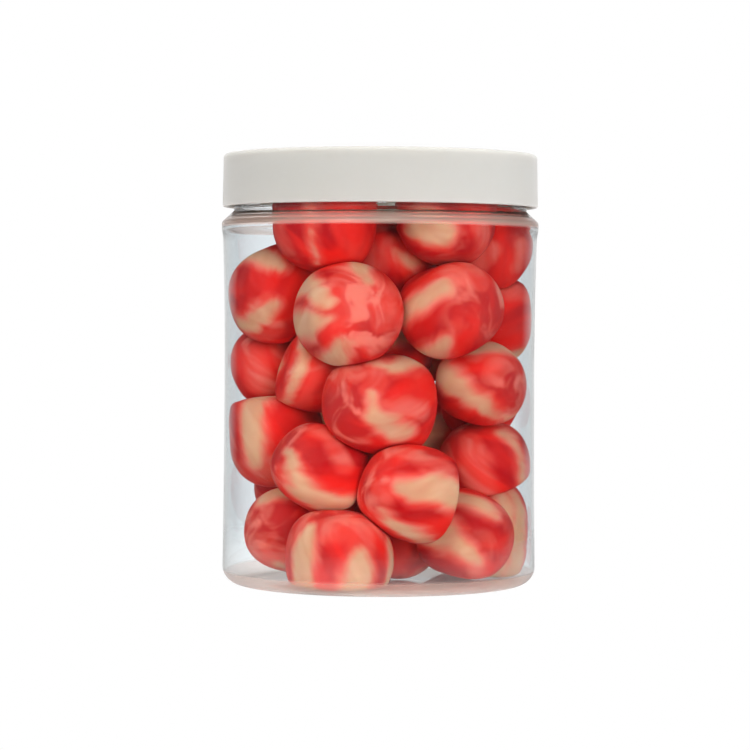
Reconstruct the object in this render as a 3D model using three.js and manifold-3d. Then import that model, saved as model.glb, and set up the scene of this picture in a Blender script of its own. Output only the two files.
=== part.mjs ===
// A shut jar of swirl gummies: clear blown jar, smooth white screw lid, and the heap of gummies inside.
// Millimetres, +Z up. The origin is where the jar's axis meets the surface it stands on.
// -Y is the front.

import * as THREE from 'three';
import { mergeVertices } from 'three/addons/utils/BufferGeometryUtils.js';
import Module from 'manifold-3d';

const wasm = await Module();
wasm.setup();

// ---- driving dimensions ----

const touchGap = 0.3;            // left between pieces that meet
const roundSegments = 40;
const gummySegments = 12;
const gummyDomeSteps = 4;         // rings from the widest ring to the top of the dome

const body = {
  waistRadius: 41.8,             // outside, where the wall is slimmest
  waistHeight: 60,
  footFlare: 0.4,                // how much wider the wall is just above the heel
  topFlare: 0.5,                 // how much wider it is just under the shoulder
  topHeight: 93,
  wall: 0.6,
  ringHeights: [20, 40, 60, 80, 93],
};
const foot = {
  ringInner: 35.4,               // inner edge of the flat ring that the jar stands on
  heelRadius: 4.8,               // the ring's outer edge is where this rounding starts
  pushUp: 0.3,                   // how far the middle of the bottom is raised
  pushUpRadius: 33,
  thickness: 0.5,
};
const shoulder = {
  beadRadius: 42.7,
  beadLow: 96.0,
  beadHigh: 97.3,
  neckLow: 100.3,
  insideBead: { radius: 42.5, height: 96.6 },
  insideNeckLow: 99.8,
};
const neck = { outer: 39.5, inner: 38.3, top: 113.9 };
const lid = {
  topRadius: 42.25,
  skirtRadius: 42.5,
  bottom: 101.4,
  top: 115.6,
  wall: 1.6,
  deck: 1.4,                     // thickness of the flat top
  edgeRound: 1.1,
  lipRound: 0.5,
};

// The gummies are domed drums, uneven in size. Each one is given by the place of its middle,
// the way its dome points, its width and height, and how firmly it keeps that place
// while the heap settles.
const firm = { front: 40, second: 5, back: 1, unseen: 0.4 };

const frontGummies = [
  { at: [-10, -25, 9.5], dome: [0.03, -0.03, 1], wide: 28, tall: 20 },
  { at: [6.2, -25.5, 26], dome: [-0.9, -0.33, 0.28], wide: 25, tall: 22.5 },
  { at: [28, -11, 56], dome: [0.72, -0.62, -0.25], wide: 22.5, tall: 20 },
  { at: [24, -14, 14], dome: [0.78, -0.52, -0.3], wide: 23.2, tall: 20.8 },
  { at: [-7.5, -27, 71.5], dome: [0.3, -0.94, 0.08], wide: 27.6, tall: 20.5 },
  { at: [20, -19.5, 72.8], dome: [0.6, -0.76, 0.22], wide: 25.2, tall: 21.5 },
  { at: [-2.2, -22, 49.3], dome: [-0.7, -0.7, 0.1], wide: 26, tall: 26 },
  { at: [-28.5, -5, 77], dome: [-0.7, -0.6, -0.33], wide: 26, tall: 22 },
  { at: [-29, 1, 39], dome: [0.05, -0.1, -1], wide: 26, tall: 23 },
  { at: [-15.2, -20.5, 29.8], dome: [-0.78, -0.4, 0.45], wide: 23.2, tall: 21 },
  { at: [-14.4, -20, 95.5], dome: [0, -0.1, -1], wide: 27.5, tall: 22.5 },
  { at: [20, -21.5, 97.5], dome: [0.1, -0.35, -0.93], wide: 25.6, tall: 20 },
];
const secondGummies = [
  { at: [-17, -9, 57], dome: [0.9, 0.25, -0.3], wide: 21, tall: 18 },
  { at: [2.8, -3, 88.3], dome: [0.3, -0.6, 0.7], wide: 25, tall: 21 },
  { at: [30, -1, 91], dome: [0.5, -0.3, 0.8], wide: 23.5, tall: 19 },
  { at: [30, 3, 71.6], dome: [-0.9, -0.3, 0.1], wide: 23, tall: 21 },
  { at: [-32, 1, 56], dome: [-0.4, -0.5, 0.75], wide: 20, tall: 17.5 },
  { at: [29.5, -1.5, 32], dome: [-0.3, -0.25, 0.92], wide: 24.5, tall: 17 },
  { at: [-23.5, -5, 14.5], dome: [-0.8, -0.6, 0.1], wide: 23.5, tall: 22 },
  { at: [32, 6, 15.5], dome: [0.1, -0.2, 0.97], wide: 20.5, tall: 25.5 },
];
const backGummies = [
  { at: [31, 8, 45], dome: [0.3, -0.8, 0.5], wide: 21, tall: 18.5 },
  { at: [6, 1, 11], dome: [0.2, -0.7, -0.7], wide: 24.5, tall: 21 },
  { at: [-24, 16, 27], dome: [-0.6, -0.2, 0.8], wide: 24, tall: 21 },
];
const unseenGummies = [
  { at: [-9, 27, 14], dome: [0.2, 0.8, 0.5], wide: 24.5, tall: 21 },
  { at: [14, 25, 14], dome: [-0.5, 0.7, 0.4], wide: 24.5, tall: 21 },
  { at: [-8, 28, 48], dome: [0.5, 0.8, -0.2], wide: 24.5, tall: 21 },
  { at: [14, 25, 38], dome: [-0.2, 0.5, -0.85], wide: 24.5, tall: 21 },
  { at: [0, 4, 38], dome: [0.3, 0.3, 0.9], wide: 22, tall: 18.5 },
  { at: [-15, 25, 71], dome: [-0.5, 0.8, 0.2], wide: 24.5, tall: 21 },
  { at: [6, 11, 64], dome: [0.3, 0.9, 0.1], wide: 24.5, tall: 21 },
  { at: [-16, 23, 94], dome: [0.4, 0.6, -0.7], wide: 24.5, tall: 21 },
  { at: [14, 24, 66], dome: [-0.3, 0.9, 0.3], wide: 24.5, tall: 21 },
  { at: [19, 19, 90], dome: [0.4, 0.6, -0.6], wide: 24.5, tall: 21 },
];

const gummyForm = {
  baseShare: 0.95,               // base radius as a share of the widest radius
  baseRound: 1.8,
  widestShare: 0.33,             // height of the widest ring, as a share of the whole height
  middleShare: 0.46,             // height of the middle, as a share of the whole height
  domePower: 2.6,                // 2 is an ellipse, more is squarer
};
const settling = {
  steps: 400,
  directions: 260,
  reach: 30,                     // gummies with middles farther apart than this can't touch
  press: 2,                      // how far two soft gummies press into each other
  pull: 0.08,                    // pull back to the given place, fading out
  fullPull: 10,                  // gummies held this firmly or more are drawn back at full strength
  ease: 0.5,
  ceiling: 109,                  // the heap's top, leaving free space under the lid
  outlineSteps: 10,
  around: 16,
};
const heapCore = { radius: 24, low: 5, high: 97, segments: 20 };

// ---- outlines ----

function arc(centreR, centreZ, radius, fromDeg, toDeg, steps) {
  const points = [];
  for (let i = 0; i <= steps; i += 1) {
    const angle = THREE.MathUtils.degToRad(fromDeg + (toDeg - fromDeg) * i / steps);
    points.push(new THREE.Vector2(centreR + radius * Math.cos(angle), centreZ + radius * Math.sin(angle)));
  }
  return points;
}

function bodyRadius(z) {
  const fromWaist = z - body.waistHeight;
  if (fromWaist < 0) {
    const share = fromWaist / (body.waistHeight - foot.heelRadius);
    return body.waistRadius + body.footFlare * share ** 2;
  }
  const share = fromWaist / (body.topHeight - body.waistHeight);
  return body.waistRadius + body.topFlare * share ** 2;
}

// The jar's inside, offset inwards by clear, from the middle of the floor up to the neck's rim.
function insideOutline(clear) {
  const inset = body.wall + clear;
  const floorZ = foot.thickness + clear;
  const points = [
    new THREE.Vector2(0, foot.pushUp + floorZ),
    new THREE.Vector2(foot.pushUpRadius, foot.pushUp + floorZ),
  ];
  const heel = foot.heelRadius - inset;
  points.push(...arc(bodyRadius(foot.heelRadius) - foot.heelRadius, foot.heelRadius - inset + floorZ, heel,
    -75, 0, 3));
  for (const z of body.ringHeights) {
    points.push(new THREE.Vector2(bodyRadius(z) - inset, z));
  }
  points.push(new THREE.Vector2(shoulder.insideBead.radius - inset, shoulder.insideBead.height));
  points.push(new THREE.Vector2(neck.inner - clear, shoulder.insideNeckLow));
  return points;
}

// ---- jar ----

function jarGeometry() {
  const heelCentre = bodyRadius(foot.heelRadius) - foot.heelRadius;
  const outside = [
    new THREE.Vector2(0, foot.pushUp),
    new THREE.Vector2(foot.pushUpRadius, foot.pushUp),
    new THREE.Vector2(foot.ringInner, 0),
    ...arc(heelCentre, foot.heelRadius, foot.heelRadius, -90, 0, 4),
    ...body.ringHeights.map((z) => new THREE.Vector2(bodyRadius(z), z)),
    new THREE.Vector2(shoulder.beadRadius, shoulder.beadLow),
    new THREE.Vector2(shoulder.beadRadius, shoulder.beadHigh),
    new THREE.Vector2(neck.outer, shoulder.neckLow),
    new THREE.Vector2(neck.outer, neck.top),
  ];
  const inside = [...insideOutline(0), new THREE.Vector2(neck.inner, neck.top)];
  return new THREE.LatheGeometry([...outside, ...inside.reverse()], roundSegments);
}

// ---- lid ----

function lidGeometry() {
  const deckRadius = lid.topRadius - lid.edgeRound;
  const innerRadius = lid.skirtRadius - lid.wall;
  const underside = lid.top - lid.deck;
  return new THREE.LatheGeometry([
    new THREE.Vector2(0, underside),
    new THREE.Vector2(innerRadius - lid.edgeRound, underside),
    new THREE.Vector2(innerRadius, underside - lid.edgeRound),
    new THREE.Vector2(innerRadius, lid.bottom),
    ...arc(lid.skirtRadius - lid.lipRound, lid.bottom + lid.lipRound, lid.lipRound, -90, 0, 2),
    ...arc(deckRadius, lid.top - lid.edgeRound, lid.edgeRound, 0, 90, 3),
    new THREE.Vector2(0, lid.top),
  ], roundSegments);
}

// ---- gummies ----

// Half outline of one gummy, from the middle of its base to the top of its dome,
// with height counted from its middle.
function gummyOutline({ wide, tall }, domeSteps) {
  const radius = wide / 2;
  const base = radius * gummyForm.baseShare;
  const round = gummyForm.baseRound;
  const widest = tall * gummyForm.widestShare;
  const points = [new THREE.Vector2(0, 0), ...arc(base - round, round, round, -90, 0, 2)];
  for (let i = 0; i < domeSteps; i += 1) {
    const angle = Math.PI / 2 * i / domeSteps;
    const power = 2 / gummyForm.domePower;
    points.push(new THREE.Vector2(
      radius * Math.cos(angle) ** power,
      widest + (tall - widest) * Math.sin(angle) ** power,
    ));
  }
  points.push(new THREE.Vector2(0, tall));
  return points.map((p) => new THREE.Vector2(p.x, p.y - tall * gummyForm.middleShare));
}

// Even spread of unit vectors over a sphere.
function sphereDirections(count) {
  const turn = Math.PI * (1 + Math.sqrt(5));
  return Array.from({ length: count }, (_, k) => {
    const z = 1 - 2 * (k + 0.5) / count;
    const flat = Math.sqrt(1 - z * z);
    return new THREE.Vector3(flat * Math.cos(turn * (k + 0.5)), flat * Math.sin(turn * (k + 0.5)), z);
  });
}

// How far a gummy reaches from its middle in a direction.
function reachAlong(outline, axis, direction) {
  const along = direction.dot(axis);
  const across = Math.sqrt(Math.max(0, 1 - along * along));
  return Math.max(...outline.map((p) => p.x * across + p.y * along));
}

function outlinePoints(outline, axis, around) {
  const side = new THREE.Vector3(0.3, 0.9, 0.2).cross(axis).normalize();
  const other = new THREE.Vector3().crossVectors(axis, side);
  const points = [];
  for (const p of outline) {
    for (let k = 0; k < around; k += 1) {
      const angle = 2 * Math.PI * k / around;
      points.push(new THREE.Vector3()
        .addScaledVector(side, p.x * Math.cos(angle))
        .addScaledVector(other, p.x * Math.sin(angle))
        .addScaledVector(axis, p.y));
    }
  }
  return points;
}

const inside = insideOutline(touchGap);

function insideRadius(z) {
  for (let i = 2; i < inside.length; i += 1) {
    if (z <= inside[i].y) {
      const share = Math.max(0, (z - inside[i - 1].y) / (inside[i].y - inside[i - 1].y));
      return inside[i - 1].x + (inside[i].x - inside[i - 1].x) * share;
    }
  }
  return inside.at(-1).x;
}

// Keeps one gummy inside the jar: the shift that takes its outermost point back to the wall.
function wallShift(gummy) {
  const shift = new THREE.Vector3();
  let worst = 0;
  let lowest = Infinity;
  let highest = -Infinity;
  for (const offset of gummy.skin) {
    const p = offset.clone().add(gummy.place);
    const radius = Math.hypot(p.x, p.y);
    const over = radius - insideRadius(p.z);
    if (over > worst) {
      worst = over;
      shift.set(-p.x / radius * over, -p.y / radius * over, 0);
    }
    lowest = Math.min(lowest, p.z);
    highest = Math.max(highest, p.z);
  }
  const floorZ = inside[0].y;
  shift.z += Math.max(0, floorZ - lowest) - Math.max(0, highest - settling.ceiling);
  return shift;
}

// The heap settles: gummies that press too far into each other move apart, the wall and the
// floor hold them in, and each is drawn back to the place it was given.
function settle(gummies) {
  const directions = sphereDirections(settling.directions);
  for (const gummy of gummies) {
    gummy.home = new THREE.Vector3(...gummy.at);
    gummy.place = gummy.home.clone();
    gummy.axis = new THREE.Vector3(...gummy.dome).normalize();
    const outline = gummyOutline(gummy, settling.outlineSteps);
    gummy.reach = directions.map((d) => reachAlong(outline, gummy.axis, d));
    gummy.reachBack = directions.map((d) => reachAlong(outline, gummy.axis, d.clone().negate()));
    gummy.skin = outlinePoints(outline, gummy.axis, settling.around);
  }
  for (let step = 0; step < settling.steps; step += 1) {
    const moves = gummies.map((gummy) => wallShift(gummy));
    gummies.forEach((one, i) => gummies.slice(i + 1).forEach((two, k) => {
      const gap = two.place.clone().sub(one.place);
      if (gap.length() > settling.reach) return;
      let least = Infinity;
      let way = directions[0];
      directions.forEach((d, n) => {
        const over = one.reach[n] + two.reachBack[n] - d.dot(gap);
        if (over < least) {
          least = over;
          way = d;
        }
      });
      const push = least - settling.press;
      if (push <= 0) return;
      const share = two.hold / (one.hold + two.hold);
      moves[i].addScaledVector(way, -push * share);
      moves[i + 1 + k].addScaledVector(way, push * (1 - share));
    }));
    const pull = settling.pull * (1 - step / settling.steps);
    gummies.forEach((gummy, i) => {
      const back = gummy.home.clone().sub(gummy.place);
      moves[i].addScaledVector(back, pull * Math.min(1, gummy.hold / settling.fullPull));
      gummy.place.addScaledVector(moves[i], settling.ease);
    });
  }
}

function solidOf(geometry) {
  geometry.deleteAttribute('normal');
  geometry.deleteAttribute('uv');
  const merged = mergeVertices(geometry, 1e-4);
  return new wasm.Manifold(new wasm.Mesh({
    numProp: 3,
    vertProperties: Float32Array.from(merged.attributes.position.array),
    triVerts: Uint32Array.from(merged.index.array),
  }));
}

function geometryOf(solid) {
  const mesh = solid.getMesh();
  const geometry = new THREE.BufferGeometry();
  geometry.setAttribute('position', new THREE.BufferAttribute(mesh.vertProperties, 3));
  geometry.setIndex(new THREE.BufferAttribute(mesh.triVerts, 1));
  geometry.computeVertexNormals();
  return geometry;
}

function upright(outline, segments) {
  return new THREE.LatheGeometry(outline, segments).rotateX(Math.PI / 2);
}

function gummySolid(gummy) {
  const geometry = upright(gummyOutline(gummy, gummyDomeSteps), gummySegments);
  const turn = new THREE.Quaternion().setFromUnitVectors(new THREE.Vector3(0, 0, 1), gummy.axis);
  geometry.applyQuaternion(turn);
  geometry.translate(gummy.place.x, gummy.place.y, gummy.place.z);
  return solidOf(geometry);
}

// One solid out to the heap's uneven outline: the settled gummies over a core that fills the gaps
// between them, all trimmed to stay clear of the jar.
function heapGeometry() {
  const gummies = [
    ...frontGummies.map((gummy) => ({ ...gummy, hold: firm.front })),
    ...secondGummies.map((gummy) => ({ ...gummy, hold: firm.second })),
    ...backGummies.map((gummy) => ({ ...gummy, hold: firm.back })),
    ...unseenGummies.map((gummy) => ({ ...gummy, hold: firm.unseen })),
  ];
  settle(gummies);
  let heap = solidOf(upright([
    new THREE.Vector2(0, heapCore.low),
    new THREE.Vector2(heapCore.radius, heapCore.low),
    new THREE.Vector2(heapCore.radius, heapCore.high),
    new THREE.Vector2(0, heapCore.high),
  ], heapCore.segments));
  for (const gummy of gummies) heap = heap.add(gummySolid(gummy));
  const room = solidOf(upright([
    ...inside,
    new THREE.Vector2(inside.at(-1).x, settling.ceiling),
    new THREE.Vector2(0, settling.ceiling),
  ], roundSegments));
  return geometryOf(heap.intersect(room));
}

// ---- the jar of gummies ----

function piece(name, geometry, look) {
  const mesh = new THREE.Mesh(geometry, new THREE.MeshStandardMaterial(look));
  mesh.name = name;
  return mesh;
}

const jarOfGummies = new THREE.Group();
jarOfGummies.add(
  piece('jar', jarGeometry().rotateX(Math.PI / 2), {
    color: 0xdfe6ea, roughness: 0.05, metalness: 0, transparent: true, opacity: 0.25,
  }),
  piece('lid', lidGeometry().rotateX(Math.PI / 2), { color: 0xf1f0ea, roughness: 0.45, metalness: 0 }),
  piece('gummies', heapGeometry(), { color: 0xdc2c2a, roughness: 0.5, metalness: 0 }),
);

export default jarOfGummies;
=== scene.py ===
# A shut jar of swirl gummies: a clear blown jar, a smooth white lid, and the gummies inside.
# Shapes are worked out in millimetres and turned to metres when a mesh is made.
# +Z is up along the jar's axis, and -Y is the front.

import math

import bmesh
import bpy
import numpy as np
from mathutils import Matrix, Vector


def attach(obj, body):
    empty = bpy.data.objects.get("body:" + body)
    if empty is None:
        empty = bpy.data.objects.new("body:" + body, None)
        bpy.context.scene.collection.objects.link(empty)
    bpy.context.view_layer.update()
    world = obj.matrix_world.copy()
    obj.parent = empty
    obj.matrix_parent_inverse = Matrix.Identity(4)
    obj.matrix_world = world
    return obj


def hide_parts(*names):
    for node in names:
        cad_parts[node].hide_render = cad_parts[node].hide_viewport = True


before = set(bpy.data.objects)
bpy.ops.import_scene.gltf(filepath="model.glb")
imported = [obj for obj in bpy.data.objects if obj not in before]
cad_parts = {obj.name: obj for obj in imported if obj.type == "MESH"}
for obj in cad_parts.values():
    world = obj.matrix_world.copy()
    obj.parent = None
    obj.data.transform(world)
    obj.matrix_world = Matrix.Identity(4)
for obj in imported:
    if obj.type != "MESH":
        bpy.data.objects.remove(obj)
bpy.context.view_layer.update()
mm = 0.001
scene = bpy.context.scene


def linear(hexColour):
    # sRGB hex to the linear colour that a shader takes
    values = [int(hexColour[i:i + 2], 16) / 255 for i in (1, 3, 5)]
    return (*[v / 12.92 if v <= 0.04045 else ((v + 0.055) / 1.055) ** 2.4 for v in values], 1.0)


def addNode(tree, kind, settings=None, links=None):
    # one node with its settings and links; a key is a property, an input's name or its number
    node = tree.nodes.new(kind)
    for key, value in (settings or {}).items():
        if isinstance(key, str) and hasattr(node, key):
            setattr(node, key, value)
        else:
            node.inputs[key].default_value = value
    for key, socket in (links or {}).items():
        tree.links.new(socket, node.inputs[key])
    return node


def newMaterial(name):
    material = bpy.data.materials.new(name)
    material.use_nodes = True
    material.node_tree.nodes.clear()
    return material, material.node_tree


def unit(vector):
    vector = np.asarray(vector, float)
    return vector / np.linalg.norm(vector)


def filletPath(corners, arcSteps=10, spacing=1.6):
    # corners are (radius, height, rounding); straight runs get rings no more than spacing apart
    corners = np.array(corners, float)
    path = [corners[0, :2]]
    for before, here, after in zip(corners, corners[1:], corners[2:]):
        rounding = here[2]
        if rounding <= 0:
            path.append(here[:2])
            continue
        toBefore = unit(before[:2] - here[:2])
        toAfter = unit(after[:2] - here[:2])
        half = math.acos(np.clip(toBefore @ toAfter, -1, 1)) / 2
        start = here[:2] + toBefore * rounding / math.tan(half)
        end = here[:2] + toAfter * rounding / math.tan(half)
        centre = here[:2] + unit(toBefore + toAfter) * rounding / math.sin(half)
        fromAngle = math.atan2(*(start - centre)[::-1])
        turn = math.atan2(*(end - centre)[::-1]) - fromAngle
        turn = (turn + math.pi) % (2 * math.pi) - math.pi
        for k in range(arcSteps + 1):
            angle = fromAngle + turn * k / arcSteps
            path.append(centre + rounding * np.array([math.cos(angle), math.sin(angle)]))
    path.append(corners[-1, :2])
    dense = [path[0]]
    for point in path[1:]:
        steps = max(1, math.ceil(np.linalg.norm(point - dense[-1]) / spacing))
        last = dense[-1]
        dense += [last + (point - last) * k / steps for k in range(1, steps + 1)]
    return np.array(dense)


def lathe(name, path, segments, onAxis=1e-6, weld=1e-7):
    # turns a path of (radius, height) round the jar's axis; a point on the axis is one vertex
    angles = 2 * math.pi * np.arange(segments) / segments
    rings = []
    vertices = []
    for radius, height in path:
        if radius < onAxis:
            rings.append([len(vertices)])
            vertices.append((0, 0, height * mm))
        else:
            rings.append(list(range(len(vertices), len(vertices) + segments)))
            vertices += [
                (radius * math.cos(a) * mm, radius * math.sin(a) * mm, height * mm) for a in angles
            ]
    faces = []
    for low, high in zip(rings, rings[1:]):
        for k in range(segments):
            corners = [
                low[k % len(low)], low[(k + 1) % len(low)],
                high[(k + 1) % len(high)], high[k % len(high)],
            ]
            faces.append(list(dict.fromkeys(corners)))
    mesh = bpy.data.meshes.new(name)
    mesh.from_pydata(vertices, [], faces)
    work = bmesh.new()
    work.from_mesh(mesh)
    bmesh.ops.remove_doubles(work, verts=work.verts, dist=weld)
    bmesh.ops.recalc_face_normals(work, faces=work.faces)
    work.to_mesh(mesh)
    work.free()
    mesh.shade_smooth()
    piece = bpy.data.objects.new(name, mesh)
    scene.collection.objects.link(piece)
    return piece


jar = {
    "waistRadius": 41.8,         # outside, where the wall is slimmest
    "waistHeight": 60,
    "footFlare": 0.4,            # how much wider the wall is just above the heel
    "topFlare": 0.5,             # how much wider it is just under the shoulder
    "bodyLow": 8,
    "bodyTop": 93,
    "bodyHeights": 40,           # how many heights the waist is drawn through
    "wall": 0.6,
    "ringInner": 35.4,           # the flat ring it stands on
    "ringRound": 1,
    "ringRise": 0.1,             # how much thicker the floor is at the ring
    "pastRing": 0.5,             # the inside is taken to rise from this far outside ringInner
    "heelRadius": 4.8,
    "pushUp": 0.3,               # how far the bottom's middle is raised
    "pushUpRadius": 33,
    "pushUpRound": 3,
    "floorThickness": 0.5,
    "floorRound": 4,
    "beadRadius": 42.7,
    "beadLow": 95.4,
    "beadLowRound": 6,
    "beadTop": 97.3,
    "beadTopRound": 1.2,
    "insideBead": 96.8,
    "insideBeadRound": 1,
    "insideNeckLow": 99.6,
    "insideNeckRound": 1.5,
    "neckLow": 100.3,
    "neckLowRound": 0.5,
    "neckOuter": 39.5,
    "neckInner": 38.3,
    "neckTop": 113.9,
    "rimRound": 0.3,
    "segments": 192,
    # the heel, shoulder and neck bands are hazy, and their peach tint is a painted glow of the gummies'
    # colour
    "heelHazeAndGlow": (4.2, 3.4, 0.35),       # height where it starts, height where it is full, amount
    "shoulderHazeAndGlow": (95.7, 96.3, 0.5),
    "neckHazeAndGlow": (98.4, 98.8, 0.46),     # taken off the shoulder's, so the neck is almost clear
    "ringSpacing": 0.9,                  # between the fine rings in the shoulder
    "ringDepth": 0.12,
    "waveLength": 14,
    "waveDepth": 0.1,
}


def bodyRadius(z):
    # the wall's gentle waist
    fromWaist = z - jar["waistHeight"]
    if fromWaist < 0:
        share = fromWaist / (jar["waistHeight"] - jar["heelRadius"])
        return jar["waistRadius"] + jar["footFlare"] * share ** 2
    share = fromWaist / (jar["bodyTop"] - jar["waistHeight"])
    return jar["waistRadius"] + jar["topFlare"] * share ** 2


def wallCorners(inset, heights):
    return [(bodyRadius(z) - inset, z, 0) for z in heights]


wallHeights = np.linspace(jar["bodyLow"], jar["bodyTop"], jar["bodyHeights"])
floorTop = jar["pushUp"] + jar["floorThickness"]
jarOutside = [
    (0, jar["pushUp"], 0),
    (jar["pushUpRadius"], jar["pushUp"], jar["pushUpRound"]),
    (jar["ringInner"], 0, jar["ringRound"]),
    (bodyRadius(0), 0, jar["heelRadius"]),
    *wallCorners(0, wallHeights),
    (jar["beadRadius"], jar["beadLow"], jar["beadLowRound"]),
    (jar["beadRadius"], jar["beadTop"], jar["beadTopRound"]),
    (jar["neckOuter"], jar["neckLow"], jar["neckLowRound"]),
    (jar["neckOuter"], jar["neckTop"], jar["rimRound"]),
]
jarInside = [
    (0, floorTop, 0),
    (jar["pushUpRadius"], floorTop, jar["floorRound"]),
    (jar["ringInner"], jar["floorThickness"] + jar["ringRise"], jar["ringRound"]),
    (bodyRadius(0) - jar["wall"], jar["floorThickness"], jar["heelRadius"] - jar["wall"]),
    *wallCorners(jar["wall"], wallHeights),
    (jar["beadRadius"] - jar["wall"], jar["insideBead"], jar["insideBeadRound"]),
    (jar["neckInner"], jar["insideNeckLow"], jar["insideNeckRound"]),
    (jar["neckInner"], jar["neckTop"], jar["rimRound"]),
]
jarPath = filletPath([*jarOutside, *jarInside[::-1]])
insidePath = filletPath(jarInside)
insideRise = insidePath[insidePath[:, 0] > jar["ringInner"] + jar["pastRing"]]


def insideRadius(z):
    return np.interp(z, insideRise[:, 1], insideRise[:, 0])


def blownPet():
    # PET, blow moulded: water-clear and glossy, with long faint waves from the cold mould. The heel
    # and the shoulder are a little cloudy and tinted peach; the haze is the thick plastic's own, the peach
    # tint is a painted glow of the gummies' colour. The shoulder has fine rings, which are bump only
    material, tree = newMaterial("blownPetPlastic")
    place = addNode(tree, "ShaderNodeTexCoord").outputs["Object"]
    height = addNode(tree, "ShaderNodeSeparateXYZ", None, {0: place}).outputs["Z"]
    hazeAndGlow = {}
    for name in ("heelHazeAndGlow", "shoulderHazeAndGlow", "neckHazeAndGlow"):
        start, full, amount = jar[name]
        hazeAndGlow[name] = addNode(tree, "ShaderNodeMapRange", {
            1: start * mm, 2: full * mm, 4: amount,
        }, {0: height}).outputs[0]
    ring = addNode(tree, "ShaderNodeMath", {"operation": "SUBTRACT"}, {
        0: hazeAndGlow["shoulderHazeAndGlow"], 1: hazeAndGlow["neckHazeAndGlow"],
    })
    hazeAndGlowShare = addNode(tree, "ShaderNodeMath", {"operation": "MAXIMUM"}, {
        0: hazeAndGlow["heelHazeAndGlow"], 1: ring.outputs[0],
    })
    oneWave = 0.314                      # how far apart a wave texture's bands are at scale 1
    ridges = addNode(tree, "ShaderNodeTexWave", {
        "bands_direction": "Z", "Scale": oneWave / (jar["ringSpacing"] * mm),
        "Distortion": 1.5, "Detail": 1.0,
    }, {"Vector": place})
    ringed = addNode(tree, "ShaderNodeMath", {"operation": "MULTIPLY"}, {
        0: ridges.outputs["Fac"], 1: hazeAndGlow["shoulderHazeAndGlow"],
    })
    rings = addNode(tree, "ShaderNodeBump", {
        "Strength": 0.8, "Distance": jar["ringDepth"] * mm,
    }, {"Height": ringed.outputs[0]})
    waves = addNode(tree, "ShaderNodeTexNoise", {
        "Scale": 1 / (jar["waveLength"] * mm), "Detail": 1.0,
    }, {"Vector": place})
    bump = addNode(tree, "ShaderNodeBump", {"Strength": 0.25, "Distance": jar["waveDepth"] * mm}, {
        "Height": waves.outputs[0], "Normal": rings.outputs[0],
    })
    plastic = addNode(tree, "ShaderNodeBsdfPrincipled", {
        "Base Color": linear("#f7fbfc"), "Roughness": 0.02, "IOR": 1.575, "Transmission Weight": 1.0,
    }, {"Normal": bump.outputs[0]})
    # thick, little stretched PET is a little hazy; its peach tint is a painted glow of the gummies' colour,
    # not the plastic's
    hazeWithPaintedGlow = addNode(tree, "ShaderNodeBsdfPrincipled", {
        "Base Color": linear("#ffdecd"), "Roughness": 0.3, "IOR": 1.575, "Transmission Weight": 0.8,
    }, {"Normal": rings.outputs[0]})
    wall = addNode(tree, "ShaderNodeMixShader", None, {
        0: hazeAndGlowShare.outputs[0], 1: plastic.outputs[0], 2: hazeWithPaintedGlow.outputs[0],
    })
    # lamps reach the gummies through the wall
    lampSide = addNode(tree, "ShaderNodeBsdfTransparent", {"Color": linear("#fafcfc")})
    lightPath = addNode(tree, "ShaderNodeLightPath")
    mixed = addNode(tree, "ShaderNodeMixShader", None, {
        0: lightPath.outputs["Is Shadow Ray"], 1: wall.outputs[0], 2: lampSide.outputs[0],
    })
    addNode(tree, "ShaderNodeOutputMaterial", None, {"Surface": mixed.outputs[0]})
    return material


blownJar = lathe("blownJar", jarPath, jar["segments"])
blownJar.data.materials.append(blownPet())
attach(blownJar, "root")
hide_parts("jar")
print("jar made", len(blownJar.data.polygons), "faces")


lid = {
    "topRadius": 42.25,
    "skirtRadius": 42.5,
    "bottom": 101.4,
    "top": 115.6,
    "wall": 1.6,
    "deck": 1.4,
    "edgeRound": 1.1,
    "lipRound": 0.5,
    "innerRound": 0.9,           # where the skirt's inside meets the deck
    "innerLipRound": 0.4,
    "segments": 192,
    "grain": 0.6,                # a real mould's grain is too fine to show, so it is drawn this wide
    "grainDepth": 0.03,
    "cloud": 30,                 # how wide the soft patches of shade and gloss are
}


def mouldedLidPlastic():
    # polypropylene, injection moulded: milky white and satin, with a fine grain from the mould
    material, tree = newMaterial("mouldedPolypropylene")
    place = addNode(tree, "ShaderNodeTexCoord").outputs["Object"]
    grain = addNode(tree, "ShaderNodeTexNoise", {
        "Scale": 1 / (lid["grain"] * mm), "Detail": 2.0,
    }, {"Vector": place})
    cloud = addNode(tree, "ShaderNodeTexNoise", {
        "Scale": 1 / (lid["cloud"] * mm), "Detail": 2.0,
    }, {"Vector": place})
    shade = addNode(tree, "ShaderNodeMix", {
        "data_type": "RGBA", 6: linear("#c4c2bb"), 7: linear("#c9c7c2"),
    }, {0: cloud.outputs[0]})
    gloss = addNode(tree, "ShaderNodeMapRange", {3: 0.36, 4: 0.46}, {0: cloud.outputs[0]})
    bump = addNode(tree, "ShaderNodeBump", {
        "Strength": 0.15, "Distance": lid["grainDepth"] * mm,
    }, {"Height": grain.outputs[0]})
    plastic = addNode(tree, "ShaderNodeBsdfPrincipled", {
        "IOR": 1.49, "Subsurface Weight": 1.0, "Subsurface Radius": (1.0, 0.95, 0.9),
        "Subsurface Scale": 4 * mm,
    }, {"Base Color": shade.outputs[2], "Roughness": gloss.outputs[0], "Normal": bump.outputs[0]})
    addNode(tree, "ShaderNodeOutputMaterial", None, {"Surface": plastic.outputs[0]})
    return material


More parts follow.
